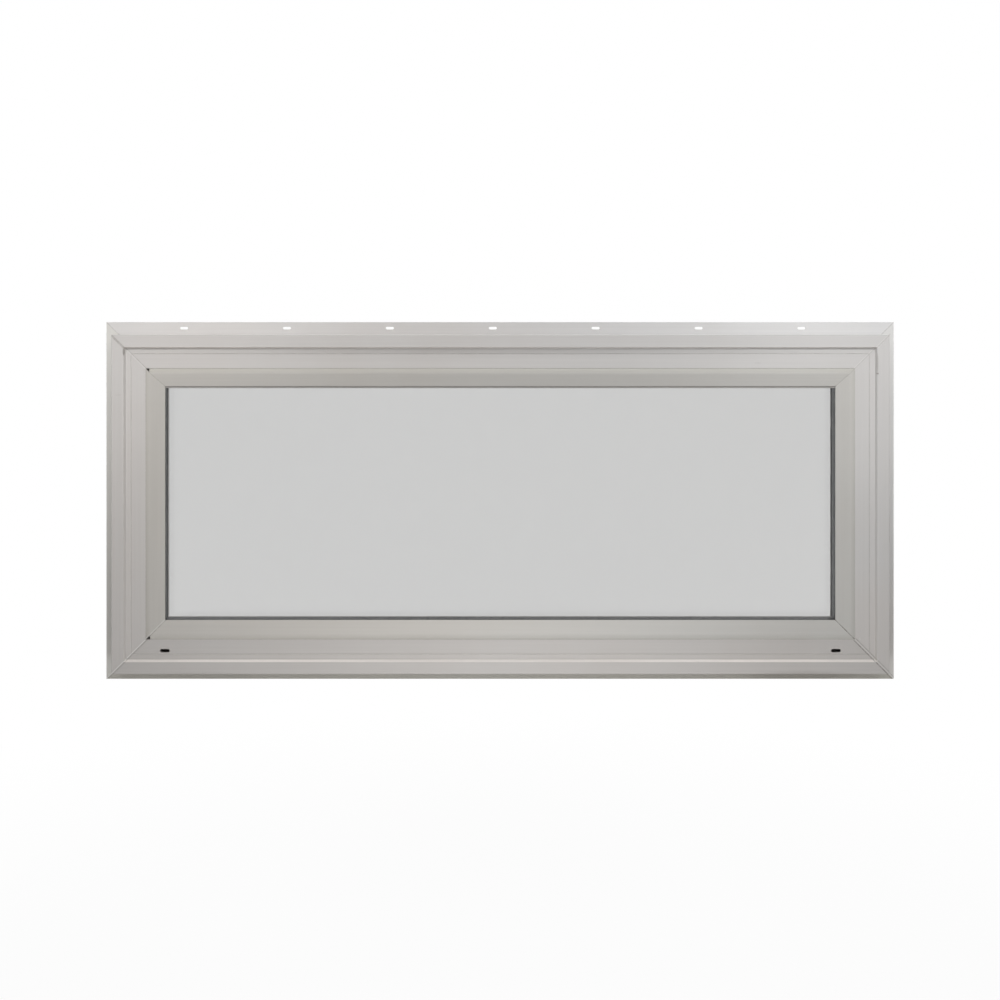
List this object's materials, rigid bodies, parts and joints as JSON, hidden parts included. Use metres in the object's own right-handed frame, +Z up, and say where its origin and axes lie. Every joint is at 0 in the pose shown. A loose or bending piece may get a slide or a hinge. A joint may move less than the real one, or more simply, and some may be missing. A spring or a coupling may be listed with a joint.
{
  "type": "fixed transom window",
  "caption": "Wide, low fixed window of welded white vinyl with a nailing fin, a raised border, snap-in glazing beads and a sealed double-glazed unit.",
  "frame": {"origin": "on the window's centre line, on the back face of the sill's nailing fin, level with the underside of the frame", "axes": "+X to the right seen from outdoors, +Y through the wall towards the indoor side, +Z up"},
  "size_m": [0.9714, 0.0825, 0.4401],
  "materials": {
    "frame_vinyl": "satin extruded vinyl",
    "bead_vinyl": "satin extruded vinyl",
    "gasket": "matt",
    "tape": "matt foam tape",
    "spacer_metal": "mill",
    "glass": "clear float glass",
    "sealant": "matt",
    "setting_block": "matt"
  },
  "bodies": {
    "root": {"frame_head": "frame_vinyl", "frame_sill": "frame_vinyl", "frame_jamb_left": "frame_vinyl", "frame_jamb_right": "frame_vinyl", "glazing_bead_head": "bead_vinyl", "glazing_bead_sill": "bead_vinyl", "glazing_bead_jamb_left": "bead_vinyl", "glazing_bead_jamb_right": "bead_vinyl", "bead_gasket_head": "gasket", "bead_gasket_sill": "gasket", "bead_gasket_jamb_left": "gasket", "bead_gasket_jamb_right": "gasket", "glazing_tape_head": "tape", "glazing_tape_sill": "tape", "glazing_tape_jamb_left": "tape", "glazing_tape_jamb_right": "tape", "spacer_head": "spacer_metal", "spacer_sill": "spacer_metal", "spacer_jamb_left": "spacer_metal", "spacer_jamb_right": "spacer_metal", "pane_outer": "glass", "pane_inner": "glass", "edge_seal": "sealant", "setting_block_left": "setting_block", "setting_block_right": "setting_block"}
  },
  "joints": []
}
